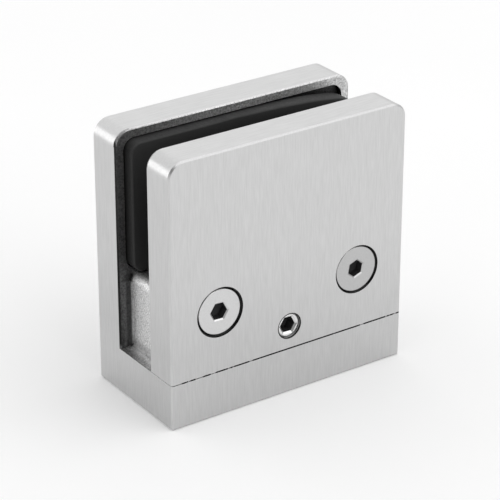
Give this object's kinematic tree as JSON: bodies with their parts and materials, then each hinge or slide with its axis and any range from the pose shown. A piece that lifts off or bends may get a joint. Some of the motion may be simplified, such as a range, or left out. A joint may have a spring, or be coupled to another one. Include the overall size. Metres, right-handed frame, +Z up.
{
  "type": "glass panel clamp",
  "caption": "Square base-fixed clamp that grips the edge of a glass panel between two rubber-lined steel jaws.",
  "frame": {"origin": "centre of the underside, which stands on the mounting surface", "axes": "+Z up, X along the glass, -Y out of the front plate with the screw heads"},
  "size_m": [0.065, 0.0316, 0.066],
  "materials": {
    "satin_steel": "satin, brushed upright on the outer faces, rough as cast inside the slot",
    "gasket_rubber": "matt black",
    "screw_steel": "smooth"
  },
  "bodies": {
    "clamp_body": {"body": "satin_steel", "rear_gasket": "gasket_rubber"},
    "front_jaw": {"front_plate": "satin_steel", "front_gasket": "gasket_rubber"},
    "left_screw": {"clamp_screw_left": "screw_steel"},
    "right_screw": {"clamp_screw_right": "screw_steel"},
    "fulcrum_screw": {"set_screw": "screw_steel"}
  },
  "joints": [
    {"name": "jaw_slide", "type": "slide", "parent": "clamp_body", "child": "front_jaw", "axis": [0, -1, 0], "range_m": [0, 0.006]},
    {"name": "left_screw_turn", "type": "hinge", "parent": "front_jaw", "child": "left_screw", "pos_m": [-0.0192, -0.0154, 0.02665], "axis": [0, -1, 0], "range_deg": [0, 2160]},
    {"name": "right_screw_turn", "type": "hinge", "parent": "front_jaw", "child": "right_screw", "pos_m": [0.0192, -0.0154, 0.02665], "axis": [0, -1, 0], "range_deg": [0, 2160]},
    {"name": "set_screw_travel", "type": "slide", "parent": "front_jaw", "child": "fulcrum_screw", "axis": [0, -1, 0], "range_m": [-0.0005, 0.004]}
  ],
  "couplings": [
    {"joint": "left_screw_turn", "follows": "jaw_slide", "rad_per_m": 6283.2},
    {"joint": "right_screw_turn", "follows": "jaw_slide", "rad_per_m": 6283.2}
  ]
}
